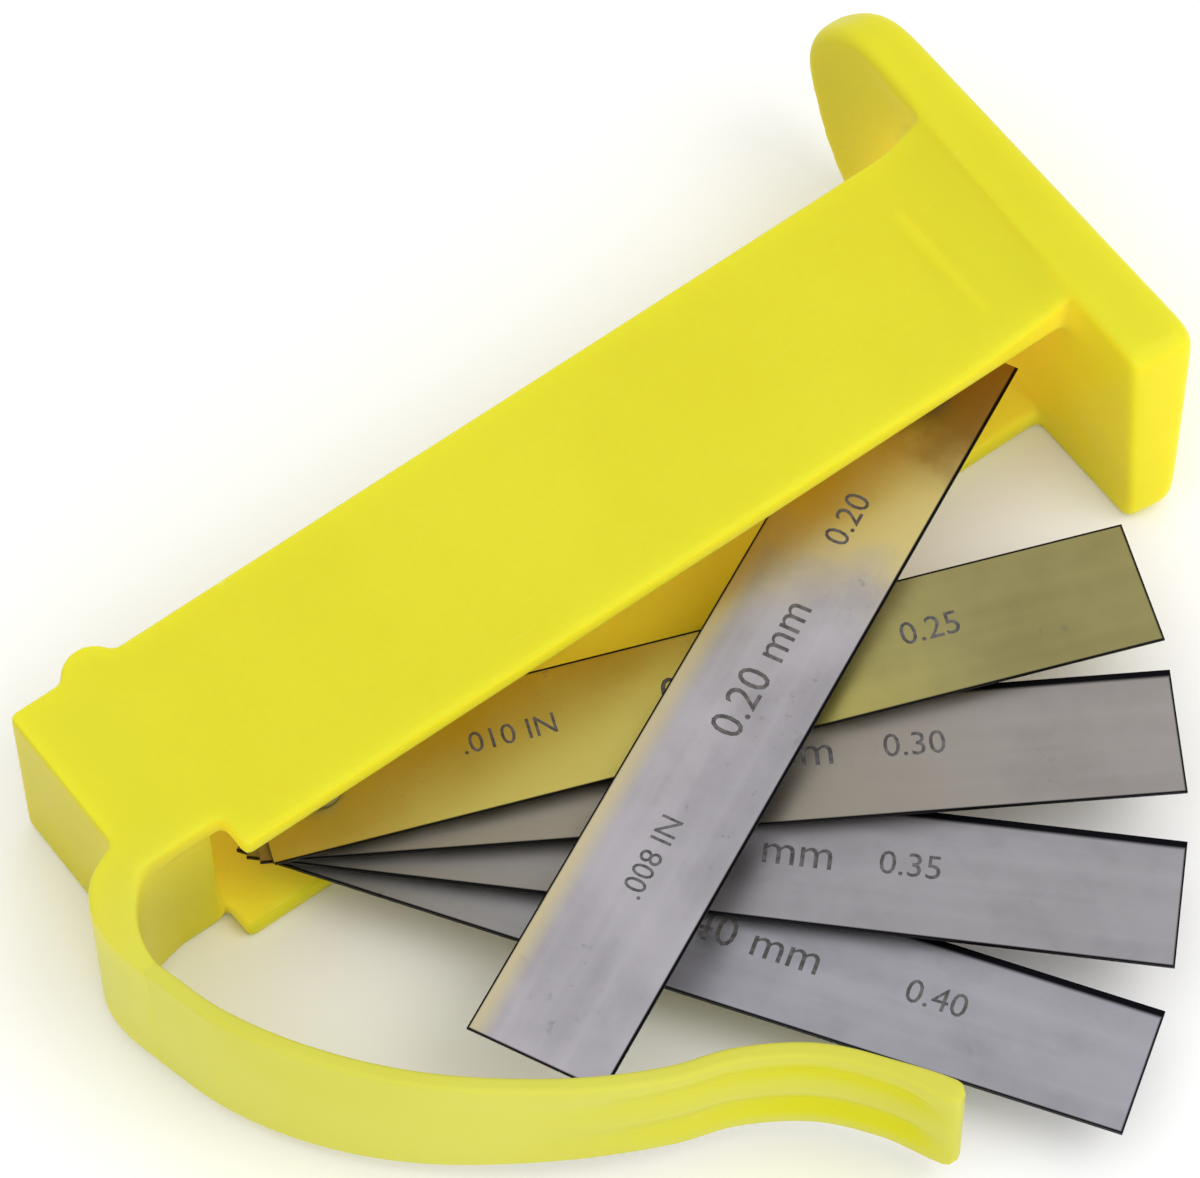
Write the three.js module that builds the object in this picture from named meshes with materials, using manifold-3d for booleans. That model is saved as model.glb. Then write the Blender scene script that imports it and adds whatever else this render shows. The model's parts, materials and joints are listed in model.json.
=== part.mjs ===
// Folding feeler gauge: a moulded channel holder with an end flange and a bendable strap,
// four leaves on a rivet near the plain end and one leaf on a rivet near the flange.
//
// X runs along the holder towards the flange, Y from the open mouth to the spine, and Z up
// from the outer face of the back plate. Sizes below are measured from the plain end face and
// the mouth edge. The finished group is moved so that its origin is the near rivet's axis.
// Millimetres.
import * as THREE from 'three';
import { mergeVertices } from 'three/addons/utils/BufferGeometryUtils.js';
import Module from 'manifold-3d';

// Holder
const BODY_LENGTH = 100.5;      // end face to the foot of the flange
const PLATE_END = 104;          // plates and spine run on into the flange
const BODY_WIDTH = 24.1;        // mouth to outer face of the spine, at the flange
const PLAIN_END_WIDTH = 23.5;   // the same at the plain end: the spine tapers slightly
const BODY_DEPTH = 20;          // outer face of back plate to outer face of front plate
const PLATE = 2.5;              // front and back plates
const SPINE = 2.5;
const BACK_MOUTH_Y = 1.1;       // the back plate stops a little short of the mouth
const BLOCK_LENGTH = 8.6;       // solid end block that carries the strap
const NOTCH_X = 9.3;            // the plates step out to the mouth here
const FRONT_NOTCH_Y = 3.6;
const BACK_NOTCH_Y = 4.8;
const RIB = { x0: 5.7, x1: 11.4, height: 2 };   // grip rib across the spine

// End flange. It leans away from the holder towards the front, and is thicker below the mouth.
const FLANGE_THICKNESS = 4.8;
const FLANGE_LEAN = 0.15;       // x gained per mm of height
const FLANGE_THICK_EXTRA = 2.3; // added at the mouth end of the front edge
const FLANGE_HEIGHT = 23.3;
const FLANGE_MOUTH_Y = -12.8;   // lower corner below the mouth
const FLANGE_CORNER_Y = -9.7;   // front corner below the mouth
const FLANGE_SPREAD = 1.1;      // below the mouth, the far face is this much longer
const FLANGE_NOSE = [41, 15];   // y and z of the rounded nose beyond the spine
const FLANGE_EAR_FOOT = 2;      // how far beyond the spine the ear's slanting side starts
const RAMP = { x0: 90, x1: 99.5, rise: 1.5 };     // front plate lifts towards the flange

// Rivets and bosses
const NEAR_PIVOT = [20.5, 5.4];
const FAR_PIVOT = [89.5, 5.0];
const SHANK_RADIUS = 1.5;
const HEAD_RADIUS = 2.1;
const HEAD_THICKNESS = 0.8;
const BOSS_RADIUS = 2.8;
const NEAR_BOSS_Z = 5.4;
const FAR_BOSS_Z = 13.6;
const SOCKET_DEPTH = 3.4;
const FIT = 0.1;                // radial clearance on the rivets

// Leaves: width, thickness, height of the middle plane, and direction at rest
const LEAF_REACH = 78;          // pivot to square tip
const LEAF_TAIL = 5.7;          // pivot to inner end
const LEAVES = [
  { name: 'near_leaf_040', pivot: NEAR_PIVOT, width: 12.7, thickness: 0.40, z: 5.8, angle: -56.6 },
  { name: 'near_leaf_035', pivot: NEAR_PIVOT, width: 12.7, thickness: 0.35, z: 7.2, angle: -44.5 },
  { name: 'near_leaf_030', pivot: NEAR_PIVOT, width: 12.7, thickness: 0.30, z: 8.6, angle: -32.0 },
  { name: 'near_leaf_025', pivot: NEAR_PIVOT, width: 12.7, thickness: 0.25, z: 10.0, angle: -20.9 },
  { name: 'far_leaf_020', pivot: FAR_PIVOT, width: 13.6, thickness: 0.20, z: 12.4, angle: 205.9 },
];
const SPACER_RADIUS = 2.5;
const SPACER_GAP = 0.12;        // axial play beside each spacer

// Strap: both sides of its root, which swells out of the end block, then its centre line in the
// X-Y plane, its width along Z and its jointed lengths
const ROOT_OUTER = [[1.5, 7.6], [-1.2, 7], [-3.6, 5.6], [-5.2, 2.8], [-5.4, -0.6]];
const ROOT_INNER = [[7, 4.6], [3.6, 4.1], [0.2, 2.9], [-2.1, 0.2], [-2.9, -2.2]];
const STRAP_LINE = [[-3.8, -4.5], [-1.8, -11.5], [2.2, -18.9], [8.6, -26.5], [18.4, -34.1],
  [26.8, -38.7], [32.6, -40.8], [38.5, -44.7], [42.6, -49.4], [46.1, -55.2]];
const STRAP_THICKNESS = 1.6;
const STRAP_WIDTH = 17.6;       // at the root
const STRAP_NARROWING = 4.2;    // lost by the middle of the strap
const STRAP_BEAD = 0.8;         // extra thickness of the catch bead at the tip
const STRAP_PARTS = 6;
const JOINT_GAP = 0.3;

const wasm = await Module();
wasm.setup();

// three.js geometry -> manifold solid
function solid(geometry) {
  const bare = geometry.clone();
  bare.deleteAttribute('normal');
  bare.deleteAttribute('uv');
  const merged = mergeVertices(bare, 1e-4);
  return new wasm.Manifold(new wasm.Mesh({
    numProp: 3,
    vertProperties: new Float32Array(merged.attributes.position.array),
    triVerts: new Uint32Array(merged.index.array),
  }));
}

// manifold solid -> three.js geometry
function geometryOf(body) {
  const mesh = body.getMesh();
  const geometry = new THREE.BufferGeometry();
  geometry.setAttribute('position', new THREE.BufferAttribute(mesh.vertProperties, 3));
  geometry.setIndex(new THREE.BufferAttribute(mesh.triVerts, 1));
  return geometry;
}

function extrude(shape, depth, curveSegments = 12) {
  return new THREE.ExtrudeGeometry(shape, { depth, bevelEnabled: false, curveSegments });
}

// a closed outline in X-Y between two heights
function layer(points, z0, z1) {
  const shape = new THREE.Shape(points.map(([x, y]) => new THREE.Vector2(x, y)));
  return solid(extrude(shape, z1 - z0).translate(0, 0, z0));
}

function box(x0, x1, y0, y1, z0, z1) {
  return layer([[x0, y0], [x1, y0], [x1, y1], [x0, y1]], z0, z1);
}

function disc(radius, z0, z1, [x, y], segments = 48) {
  const geometry = new THREE.CylinderGeometry(radius, radius, z1 - z0, segments);
  return solid(geometry.rotateX(Math.PI / 2).translate(x, y, (z0 + z1) / 2));
}

// a closed strip through sections that each join an inner and an outer point in X-Y
function strip(sections) {
  const positions = [];
  const index = [];
  for (const { inner, outer, width } of sections) {
    const [z0, z1] = [(BODY_DEPTH - width) / 2, (BODY_DEPTH + width) / 2];
    positions.push(inner.x, inner.y, z1, outer.x, outer.y, z1, outer.x, outer.y, z0, inner.x, inner.y, z0);
  }
  const last = sections.length - 1;
  const quad = (a, b, c, d) => index.push(a, b, c, a, c, d);
  for (let i = 0; i < last; i++) {
    for (let k = 0; k < 4; k++) {
      const n = (k + 1) % 4;
      quad(4 * i + k, 4 * i + n, 4 * i + 4 + n, 4 * i + 4 + k);
    }
  }
  quad(3, 2, 1, 0);
  quad(4 * last, 4 * last + 1, 4 * last + 2, 4 * last + 3);
  const geometry = new THREE.BufferGeometry();
  geometry.setAttribute('position', new THREE.Float32BufferAttribute(positions, 3));
  geometry.setIndex(index);
  return geometry;
}

// one section of a band that follows a line
function across(line, u, thickness, width) {
  const p = line.getPointAt(u);
  const t = line.getTangentAt(u);
  const side = new THREE.Vector3(-t.y, t.x, 0).multiplyScalar(thickness / 2);
  return { inner: p.clone().add(side), outer: p.clone().sub(side), width };
}

const curve = (points) => new THREE.CatmullRomCurve3(
  points.map(([x, y]) => new THREE.Vector3(x, y, 0)), false, 'centripetal');

// Plate with the notch that leaves the end block's wall showing
function plate(mouthY, notchY, z0, z1) {
  return layer([[0, PLAIN_END_WIDTH], [0, notchY], [NOTCH_X, notchY], [NOTCH_X, mouthY],
    [PLATE_END, mouthY], [PLATE_END, BODY_WIDTH]], z0, z1);
}

// Low rounded rib across the spine
function spineRib() {
  const chord = (RIB.x1 - RIB.x0) / 2;
  const radius = (chord ** 2 + RIB.height ** 2) / (2 * RIB.height);
  const base = PLAIN_END_WIDTH;
  const middle = [(RIB.x0 + RIB.x1) / 2, base + RIB.height - radius];
  const above = box(RIB.x0 - 1, RIB.x1 + 1, base - 0.5, base + 5, 0, BODY_DEPTH);
  return disc(radius, 0, BODY_DEPTH, middle, 64).intersect(above);
}

// A solid between two matching outlines of 3-D points; flatten drops the axis they lie across
function loft(low, high, flatten) {
  const n = low.length;
  const flat = low.map(flatten);
  const caps = THREE.ShapeUtils.triangulateShape(flat, []);
  const index = [];
  for (const [a, b, c] of caps) index.push(c, b, a, n + a, n + b, n + c);
  for (let i = 0; i < n; i++) {
    const j = (i + 1) % n;
    index.push(i, j, n + j, i, n + j, n + i);
  }
  const positions = [...low, ...high].flatMap((p) => [p.x, p.y, p.z]);
  const geometry = new THREE.BufferGeometry();
  geometry.setAttribute('position', new THREE.Float32BufferAttribute(positions, 3));
  geometry.setIndex(index);
  return solid(geometry);
}

// Leaning flange: square below the mouth, an ear with a rounded nose beyond the spine
function flange() {
  const top = FLANGE_HEIGHT;
  const [noseY, noseZ] = FLANGE_NOSE;
  const shape = new THREE.Shape();
  shape.moveTo(FLANGE_MOUTH_Y + 2.5, 0);
  shape.lineTo(BODY_WIDTH + FLANGE_EAR_FOOT, 0);
  shape.quadraticCurveTo(noseY - 6, noseZ - 10.6, noseY - 2.6, noseZ - 5);
  shape.bezierCurveTo(noseY + 0.4, noseZ - 1.6, noseY + 0.6, noseZ + 0.8, noseY - 1.4, noseZ + 3.4);
  shape.bezierCurveTo(noseY - 4, noseZ + 6.6, noseY - 5.5, top, noseY - 10, top);
  shape.lineTo(FLANGE_CORNER_Y + 0.8, top);
  shape.quadraticCurveTo(FLANGE_CORNER_Y, top, FLANGE_CORNER_Y - 0.1, top - 0.8);
  shape.lineTo(FLANGE_MOUTH_Y + 0.3, 2.4);
  shape.quadraticCurveTo(FLANGE_MOUTH_Y, 0, FLANGE_MOUTH_Y + 2.5, 0);
  const outline = shape.getPoints(10).slice(0, -1);
  const lean = (z) => BODY_LENGTH + FLANGE_LEAN * z;
  const extra = (y, z) => FLANGE_THICK_EXTRA * (z / top)
    * THREE.MathUtils.clamp((noseY - y) / (noseY - FLANGE_CORNER_Y), 0, 1);
  const near = outline.map((p) => new THREE.Vector3(lean(p.y) - extra(p.x, p.y), p.x, p.y));
  const spread = (y) => (y < 0 ? y * FLANGE_SPREAD : y);
  const far = outline.map((p) => new THREE.Vector3(lean(p.y) + FLANGE_THICKNESS, spread(p.x), p.y));
  return loft(near, far, (p) => new THREE.Vector2(p.y, p.z));
}

// Front plate's last stretch: it lifts a little on the mouth side and sweeps into the flange
function ramp() {
  const top = BODY_DEPTH;
  const profile = (y, rise) => [[RAMP.x0, top], [RAMP.x1, top + rise], [RAMP.x1 + 1.5, top + rise + 0.25],
    [RAMP.x1 + 3, top + rise + 1], [PLATE_END, top + rise + 1.4], [PLATE_END, top - 1],
    [RAMP.x0, top - 1]].map(([x, z]) => new THREE.Vector3(x, y, z));
  return loft(profile(0, RAMP.rise), profile(PLAIN_END_WIDTH, 0.05),
    (p) => new THREE.Vector2(-p.x, p.z));
}

// The strap's root narrows from the end block's corner to the strap's own section
function strapRoot(line) {
  const steps = 24;
  const end = across(line, 0, STRAP_THICKNESS, STRAP_WIDTH);
  const outer = curve([...ROOT_OUTER, [end.outer.x, end.outer.y]]);
  const inner = curve([...ROOT_INNER, [end.inner.x, end.inner.y]]);
  const sections = Array.from({ length: steps + 1 }, (_, i) => ({
    inner: inner.getPoint(i / steps),
    outer: outer.getPoint(i / steps),
    width: BODY_DEPTH - (BODY_DEPTH - STRAP_WIDTH) * i / steps,
  }));
  return strip(sections);
}

function holder(line) {
  const socket = SHANK_RADIUS + FIT;
  const body = plate(0, FRONT_NOTCH_Y, BODY_DEPTH - PLATE, BODY_DEPTH)
    .add(plate(BACK_MOUTH_Y, BACK_NOTCH_Y, 0, PLATE))
    .add(layer([[0, PLAIN_END_WIDTH - SPINE], [PLATE_END, BODY_WIDTH - SPINE],
      [PLATE_END, BODY_WIDTH], [0, PLAIN_END_WIDTH]], 0, BODY_DEPTH))
    .add(box(0, BLOCK_LENGTH, 4.2, PLAIN_END_WIDTH, 0, BODY_DEPTH))
    .add(spineRib())
    .add(flange())
    .add(ramp())
    .add(solid(strapRoot(line)))
    .add(disc(BOSS_RADIUS, PLATE - 0.5, NEAR_BOSS_Z, NEAR_PIVOT))
    .add(disc(BOSS_RADIUS, FAR_BOSS_Z, BODY_DEPTH - PLATE + 0.5, FAR_PIVOT))
    .subtract(disc(socket, NEAR_BOSS_Z - SOCKET_DEPTH, NEAR_BOSS_Z + 1, NEAR_PIVOT))
    .subtract(disc(socket, FAR_BOSS_Z - 1, FAR_BOSS_Z + SOCKET_DEPTH, FAR_PIVOT));
  return geometryOf(body);
}

// Shank with a formed head; the shank ends in the boss socket
function rivet(pivot, head0, socketEnd) {
  const head1 = head0 + HEAD_THICKNESS;
  const shank = socketEnd < head0
    ? disc(SHANK_RADIUS, socketEnd, head0 + 0.2, pivot)
    : disc(SHANK_RADIUS, head1 - 0.2, socketEnd, pivot);
  return geometryOf(disc(HEAD_RADIUS, head0, head1, pivot).add(shank));
}

function spacer(pivot, z0, z1) {
  const ring = disc(SPACER_RADIUS, z0, z1, pivot);
  return geometryOf(ring.subtract(disc(SHANK_RADIUS + FIT, z0 - 1, z1 + 1, pivot)));
}

// Square-ended steel strip with its pivot hole at the origin
function leaf(width, thickness) {
  const half = width / 2;
  const shape = new THREE.Shape();
  shape.moveTo(-LEAF_TAIL, -half);
  shape.lineTo(LEAF_REACH, -half);
  shape.lineTo(LEAF_REACH, half);
  shape.lineTo(-LEAF_TAIL, half);
  shape.closePath();
  shape.holes.push(new THREE.Path().absarc(0, 0, SHANK_RADIUS + FIT, 0, 2 * Math.PI, true));
  return extrude(shape, thickness, 24).translate(0, 0, -thickness / 2);
}

// One length of the strap; the last one carries the catch bead
function strapPart(line, index) {
  const gap = JOINT_GAP / line.getLength();
  const from = index / STRAP_PARTS + (index === 0 ? gap : gap / 2);
  const to = (index + 1) / STRAP_PARTS - (index === STRAP_PARTS - 1 ? 0 : gap / 2);
  const thickness = (u) => STRAP_THICKNESS + (u > 0.955 ? STRAP_BEAD : 0);
  const width = (u) => STRAP_WIDTH - STRAP_NARROWING * THREE.MathUtils.smoothstep(u, 0.15, 0.65);
  const steps = 12;
  const shares = Array.from({ length: steps + 1 }, (_, i) => from + (to - from) * i / steps);
  return strip(shares.map((u) => across(line, u, thickness(u), width(u))));
}

function mesh(name, geometry, color, roughness, metalness) {
  geometry.computeVertexNormals();
  const part = new THREE.Mesh(geometry,
    new THREE.MeshStandardMaterial({ color, roughness, metalness }));
  part.name = name;
  return part;
}

const YELLOW = '#e4de3c';
const STRAP_YELLOW = '#dcdc4a';
const STEEL = '#a8a5ab';
const RIVET_STEEL = '#8c8d90';

const strapLine = curve(STRAP_LINE);

const group = new THREE.Group();
group.name = 'feeler_gauge';
group.add(mesh('holder', holder(strapLine), YELLOW, 0.45, 0));

for (const { name, pivot, width, thickness, z, angle } of LEAVES) {
  const strip = mesh(name, leaf(width, thickness), STEEL, 0.35, 1);
  strip.position.set(pivot[0], pivot[1], z);
  strip.rotation.z = THREE.MathUtils.degToRad(angle);
  group.add(strip);
}

// Near rivet: head above the top near leaf. Far rivet: head under the far leaf.
const near = LEAVES.filter((l) => l.pivot === NEAR_PIVOT);
const far = LEAVES.find((l) => l.pivot === FAR_PIVOT);
const topNear = near[near.length - 1];
const nearHead = topNear.z + topNear.thickness / 2 + 0.2;
const farHead = far.z - far.thickness / 2 - 0.2 - HEAD_THICKNESS;
group.add(mesh('near_rivet', rivet(NEAR_PIVOT, nearHead, NEAR_BOSS_Z - SOCKET_DEPTH + 0.3),
  RIVET_STEEL, 0.4, 1));
group.add(mesh('far_rivet', rivet(FAR_PIVOT, farHead, FAR_BOSS_Z + SOCKET_DEPTH - 0.3),
  RIVET_STEEL, 0.4, 1));

for (let i = 0; i + 1 < near.length; i++) {
  const z0 = near[i].z + near[i].thickness / 2 + SPACER_GAP;
  const z1 = near[i + 1].z - near[i + 1].thickness / 2 - SPACER_GAP;
  group.add(mesh(`near_spacer_${i + 1}`, spacer(NEAR_PIVOT, z0, z1), RIVET_STEEL, 0.4, 1));
}
group.add(mesh('far_spacer', spacer(FAR_PIVOT, far.z + far.thickness / 2 + SPACER_GAP,
  FAR_BOSS_Z - SPACER_GAP), RIVET_STEEL, 0.4, 1));

for (let i = 0; i < STRAP_PARTS; i++) {
  group.add(mesh(`strap_${i + 1}`, strapPart(strapLine, i), STRAP_YELLOW, 0.45, 0));
}

group.position.set(-NEAR_PIVOT[0], -NEAR_PIVOT[1], 0);

export default group;
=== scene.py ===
import json
import math

import bpy
import numpy as np
import openvdb
from mathutils import Matrix, Quaternion, Vector


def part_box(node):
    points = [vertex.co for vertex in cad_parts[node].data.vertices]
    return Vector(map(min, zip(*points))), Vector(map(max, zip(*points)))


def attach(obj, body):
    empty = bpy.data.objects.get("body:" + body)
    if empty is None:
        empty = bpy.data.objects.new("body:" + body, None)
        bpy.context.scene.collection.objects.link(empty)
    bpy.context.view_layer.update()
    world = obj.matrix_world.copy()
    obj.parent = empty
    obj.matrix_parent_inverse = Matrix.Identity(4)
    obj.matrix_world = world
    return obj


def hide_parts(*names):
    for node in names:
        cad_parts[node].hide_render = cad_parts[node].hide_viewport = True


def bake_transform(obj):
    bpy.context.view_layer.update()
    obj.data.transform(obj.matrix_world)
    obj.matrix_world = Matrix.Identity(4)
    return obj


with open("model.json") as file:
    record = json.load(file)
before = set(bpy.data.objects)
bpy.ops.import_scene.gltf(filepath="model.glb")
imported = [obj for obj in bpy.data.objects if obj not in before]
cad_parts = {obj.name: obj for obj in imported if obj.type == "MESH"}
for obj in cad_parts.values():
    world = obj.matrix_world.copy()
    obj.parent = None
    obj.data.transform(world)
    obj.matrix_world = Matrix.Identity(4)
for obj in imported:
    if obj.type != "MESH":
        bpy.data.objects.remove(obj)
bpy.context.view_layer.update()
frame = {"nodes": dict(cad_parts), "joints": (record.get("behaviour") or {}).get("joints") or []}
MM = 0.001

# ---------------------------------------------------------------- camera, light and floor

LOOK_AZIMUTH, LOOK_ELEVATION, LOOK_ROLL = -35.86, 59.75, -0.96     # degrees
LOOK_AT = Vector((32.68, 1.50, 10.0)) * MM
LOOK_DISTANCE = 574.2 * MM
LENS, SENSOR_WIDTH = 187.97, 36.0      # mm
SKY_STRENGTH, FLOOR_GREY = 0.97, 0.97
FLOOR_REACH = 3.0       # m
WARM_WHITE, COOL_WHITE = (1.0, 0.99, 0.97), (0.97, 0.98, 1.0)
# each light's name, place and width in metres, watts and colour
LIGHTS = (
    ("key", (0.42, -0.50, 0.95), 0.7, 2.4, WARM_WHITE),
    ("front", (-0.30, -0.95, 0.30), 0.5, 2.0, WARM_WHITE),
    ("fill", (-0.55, 0.35, 0.9), 0.8, 0.25, COOL_WHITE),
)


def make_camera():
    azimuth, elevation = math.radians(LOOK_AZIMUTH), math.radians(LOOK_ELEVATION)
    back = Vector((math.sin(azimuth) * math.cos(elevation),
                   -math.cos(azimuth) * math.cos(elevation), math.sin(elevation)))
    data = bpy.data.cameras.new("camera")
    data.lens, data.sensor_width = LENS, SENSOR_WIDTH
    data.clip_start, data.clip_end = 0.02, 20.0
    camera = bpy.data.objects.new("camera", data)
    camera.rotation_mode = "QUATERNION"
    roll = Quaternion((0, 0, 1), math.radians(LOOK_ROLL))
    camera.rotation_quaternion = (-back).to_track_quat("-Z", "Y") @ roll
    camera.location = LOOK_AT + back * LOOK_DISTANCE
    bpy.context.scene.collection.objects.link(camera)
    bpy.context.scene.camera = camera


def area_light(name, place, size, watts, colour):
    data = bpy.data.lights.new(name, "AREA")
    data.shape, data.size, data.energy, data.color = "DISK", size, watts, colour
    light = bpy.data.objects.new(name, data)
    light.location = place
    light.rotation_mode = "QUATERNION"
    light.rotation_quaternion = (LOOK_AT - Vector(place)).to_track_quat("-Z", "Y")
    bpy.context.scene.collection.objects.link(light)


def make_studio():
    world = bpy.data.worlds.new("studio")
    bpy.context.scene.world = world
    world.use_nodes = True
    sky = world.node_tree.nodes["Background"]
    sky.inputs["Color"].default_value = (1.0, 1.0, 1.0, 1)
    sky.inputs["Strength"].default_value = SKY_STRENGTH
    for light in LIGHTS:
        area_light(*light)

    mesh = bpy.data.meshes.new("floor")
    corners = [(x * FLOOR_REACH, y * FLOOR_REACH, 0) for x, y in ((-1, -1), (1, -1), (1, 1), (-1, 1))]
    mesh.from_pydata(corners, [], [(0, 1, 2, 3)])
    floor = bpy.data.objects.new("floor", mesh)
    bpy.context.scene.collection.objects.link(floor)
    material = bpy.data.materials.new("floor_pale")
    material.use_nodes = True
    shader = material.node_tree.nodes["Principled BSDF"]
    shader.inputs["Base Color"].default_value = (FLOOR_GREY, FLOOR_GREY, FLOOR_GREY, 1)
    shader.inputs["Roughness"].default_value = 0.9
    shader.inputs["Specular IOR Level"].default_value = 0.1
    mesh.materials.append(material)
    bpy.context.scene.view_settings.view_transform = "Standard"


# ---------------------------------------------------------------- materials

class Nodes:
    """Short hand for one material's node tree."""

    def __init__(self, name):
        self.material = bpy.data.materials.new(name)
        self.material.use_nodes = True
        self.tree = self.material.node_tree
        self.shader = self.tree.nodes["Principled BSDF"]

    def add(self, kind, **settings):
        node = self.tree.nodes.new("ShaderNode" + kind)
        for key, value in settings.items():
            setattr(node, key, value)
        return node

    def link(self, source, target):
        self.tree.links.new(source, target)

    def constant(self, socket, value):
        """A value that is the same all over the surface, set on the shader itself."""
        self.shader.inputs[socket].default_value = value

    def drive(self, socket, source):
        self.link(source, self.shader.inputs[socket])

    def put(self, socket, value):
        if isinstance(value, bpy.types.NodeSocket):
            self.link(value, socket)
        else:
            socket.default_value = value

    def noise(self, vector, scale, detail=3.0, roughness=0.55):
        node = self.add("TexNoise")
        self.link(vector, node.inputs["Vector"])
        node.inputs["Scale"].default_value = scale
        node.inputs["Detail"].default_value = detail
        node.inputs["Roughness"].default_value = roughness
        return node.outputs["Fac"]

    def axes(self, vector):
        node = self.add("SeparateXYZ")
        self.link(vector, node.inputs["Vector"])
        return node.outputs

    def stretched(self, vector, scale, turn=(0.0, 0.0, 0.0)):
        """The vector scaled along each axis and then turned, for noise that is drawn out one way."""
        node = self.add("Mapping")
        self.link(vector, node.inputs["Vector"])
        node.inputs["Rotation"].default_value = turn
        node.inputs["Scale"].default_value = scale
        return node.outputs["Vector"]

    def span(self, value, low, high, to_low=0.0, to_high=1.0):
        node = self.add("MapRange", interpolation_type="SMOOTHSTEP")
        self.link(value, node.inputs["Value"])
        ends = {"From Min": low, "From Max": high, "To Min": to_low, "To Max": to_high}
        for key, number in ends.items():
            node.inputs[key].default_value = number
        return node.outputs["Result"]

    def math(self, operation, a, b=0.0):
        node = self.add("Math", operation=operation)
        self.put(node.inputs[0], a)
        self.put(node.inputs[1], b)
        return node.outputs[0]

    def mix(self, factor, a, b):
        node = self.add("Mix", data_type="RGBA")
        self.put(node.inputs["Factor"], factor)
        self.put(node.inputs["A"], a)
        self.put(node.inputs["B"], b)
        return node.outputs["Result"]

    def bump(self, height, strength, distance, normal=None):
        node = self.add("Bump")
        self.link(height, node.inputs["Height"])
        node.inputs["Strength"].default_value = strength
        node.inputs["Distance"].default_value = distance
        if normal is not None:
            self.link(normal, node.inputs["Normal"])
        return node.outputs["Normal"]


# moulded plastic: sizes of its noises, in cycles per metre
CLOUD_SCALE, RIPPLE_SCALE, GRAIN_SCALE, SPECK_SCALE = 45.0, 120.0, 1500.0, 2600.0
RUB_STRETCH, RUB_TURN = (60.0, 1500.0, 900.0), (0.2, 0.1, 0.5)
RUB_PALENESS, RUB_ROUGHNESS = 0.10, 0.18
SPECK_ROUGHNESS = 0.08
PLASTIC_ROUGHNESS = (0.26, 0.36)
PLASTIC_IOR, PLASTIC_SPECULAR = 1.5, 0.07
# paler convex edges, partly edge wear and partly a painted highlight: the pointiness over which they pale,
# and how far
EDGE_POINTINESS, EDGE_WEAR_AND_HIGHLIGHT = (0.53, 0.62), 0.45
# hollows, where painted light stands for light bounced and carried round inside them, as a warmer, lighter
# colour and a glow: how far they look for walls of the same piece, in metres, and then how open the air is
# where their colour and their glow are full and where they end
HOLLOW_REACH = 0.022
HOLLOW_AIR, GLOW_AIR = (0.42, 1.0), (0.25, 0.85)
GLOW_STRENGTH = 0.13
# painted shade and light on the holder's upright faces, coloured darker than the flat ones, and warmer and
# lighter below the channel's mouth, for how the light falls on them:
# how far a face turns up, from an upright one to a flat one, where along y, in metres, their colour
# changes, and how much of it they take
SIDE_UPWARD, SIDE_CHANGE_Y, SIDE_SHARE = (0.25, 0.9), (-0.004, 0.0015), 0.8
HAZE, HAZE_DEPTH, HAZE_RADIUS = 0.6, 0.0045, (1.0, 0.75, 0.10)
ROOT_REACH = 0.019      # m, how far the strap's colour reaches into the holder
STRAP_PALE = (0.60, 0.585, 0.085, 1)
# painted shade in the strap's grooves, a deeper yellow where the concave grooves fall into shade: how far
# each is from the middle of the width and how far its painted shade spreads, then where along y it starts,
# is full, begins to fade and ends, all in metres
GROOVE_OFFSET, GROOVE_REACH = 3.5 * MM, 2.5 * MM
GROOVE_START_Y, GROOVE_FULL_Y, GROOVE_LAST_Y, GROOVE_END_Y = -0.041, -0.050, -0.057, -0.0615


class Plastic(Nodes):
    """Moulded plastic: cloudy colour, fine mould grain and rub marks, with tints laid over it."""

    def __init__(self, name, light, deep):
        super().__init__(name)
        self.place = self.add("TexCoord").outputs["Object"]
        self.cloud = self.noise(self.place, CLOUD_SCALE)
        self.colour = self.mix(self.span(self.cloud, 0.3, 0.7), light, deep)
        open_air = self.add("AmbientOcclusion", samples=12, only_local=True)
        open_air.inputs["Distance"].default_value = HOLLOW_REACH
        self.open_air = open_air.outputs["AO"]

    def tint(self, share, colour):
        self.colour = self.mix(share, self.colour, colour)

    def paint_hollow_light(self, colour):
        self.tint(self.span(self.open_air, *HOLLOW_AIR, 1.0, 0.0), colour)

    def finish(self, worn):
        streak = self.noise(self.stretched(self.place, RUB_STRETCH, RUB_TURN), 1.0, 2.0)
        rub = self.math("MULTIPLY", self.span(streak, 0.66, 0.72), self.span(self.cloud, 0.5, 0.62))
        self.tint(self.math("MULTIPLY", rub, RUB_PALENESS), worn)
        self.drive("Base Color", self.colour)
        speck = self.noise(self.place, SPECK_SCALE, 2.0)
        rough = self.math("ADD", self.span(self.cloud, 0.2, 0.8, *PLASTIC_ROUGHNESS),
                          self.math("MULTIPLY", speck, SPECK_ROUGHNESS))
        self.drive("Roughness", self.math("ADD", rough, self.math("MULTIPLY", rub, RUB_ROUGHNESS)))
        normal = self.bump(self.noise(self.place, RIPPLE_SCALE, 2.0), 0.25, 0.12 * MM)
        normal = self.bump(self.noise(self.place, GRAIN_SCALE), 0.22, 0.03 * MM, normal)
        normal = self.bump(rub, 0.25, 0.02 * MM, normal)
        self.drive("Normal", normal)
        self.constant("IOR", PLASTIC_IOR)
        self.constant("Specular IOR Level", PLASTIC_SPECULAR)
        return self.material


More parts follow.
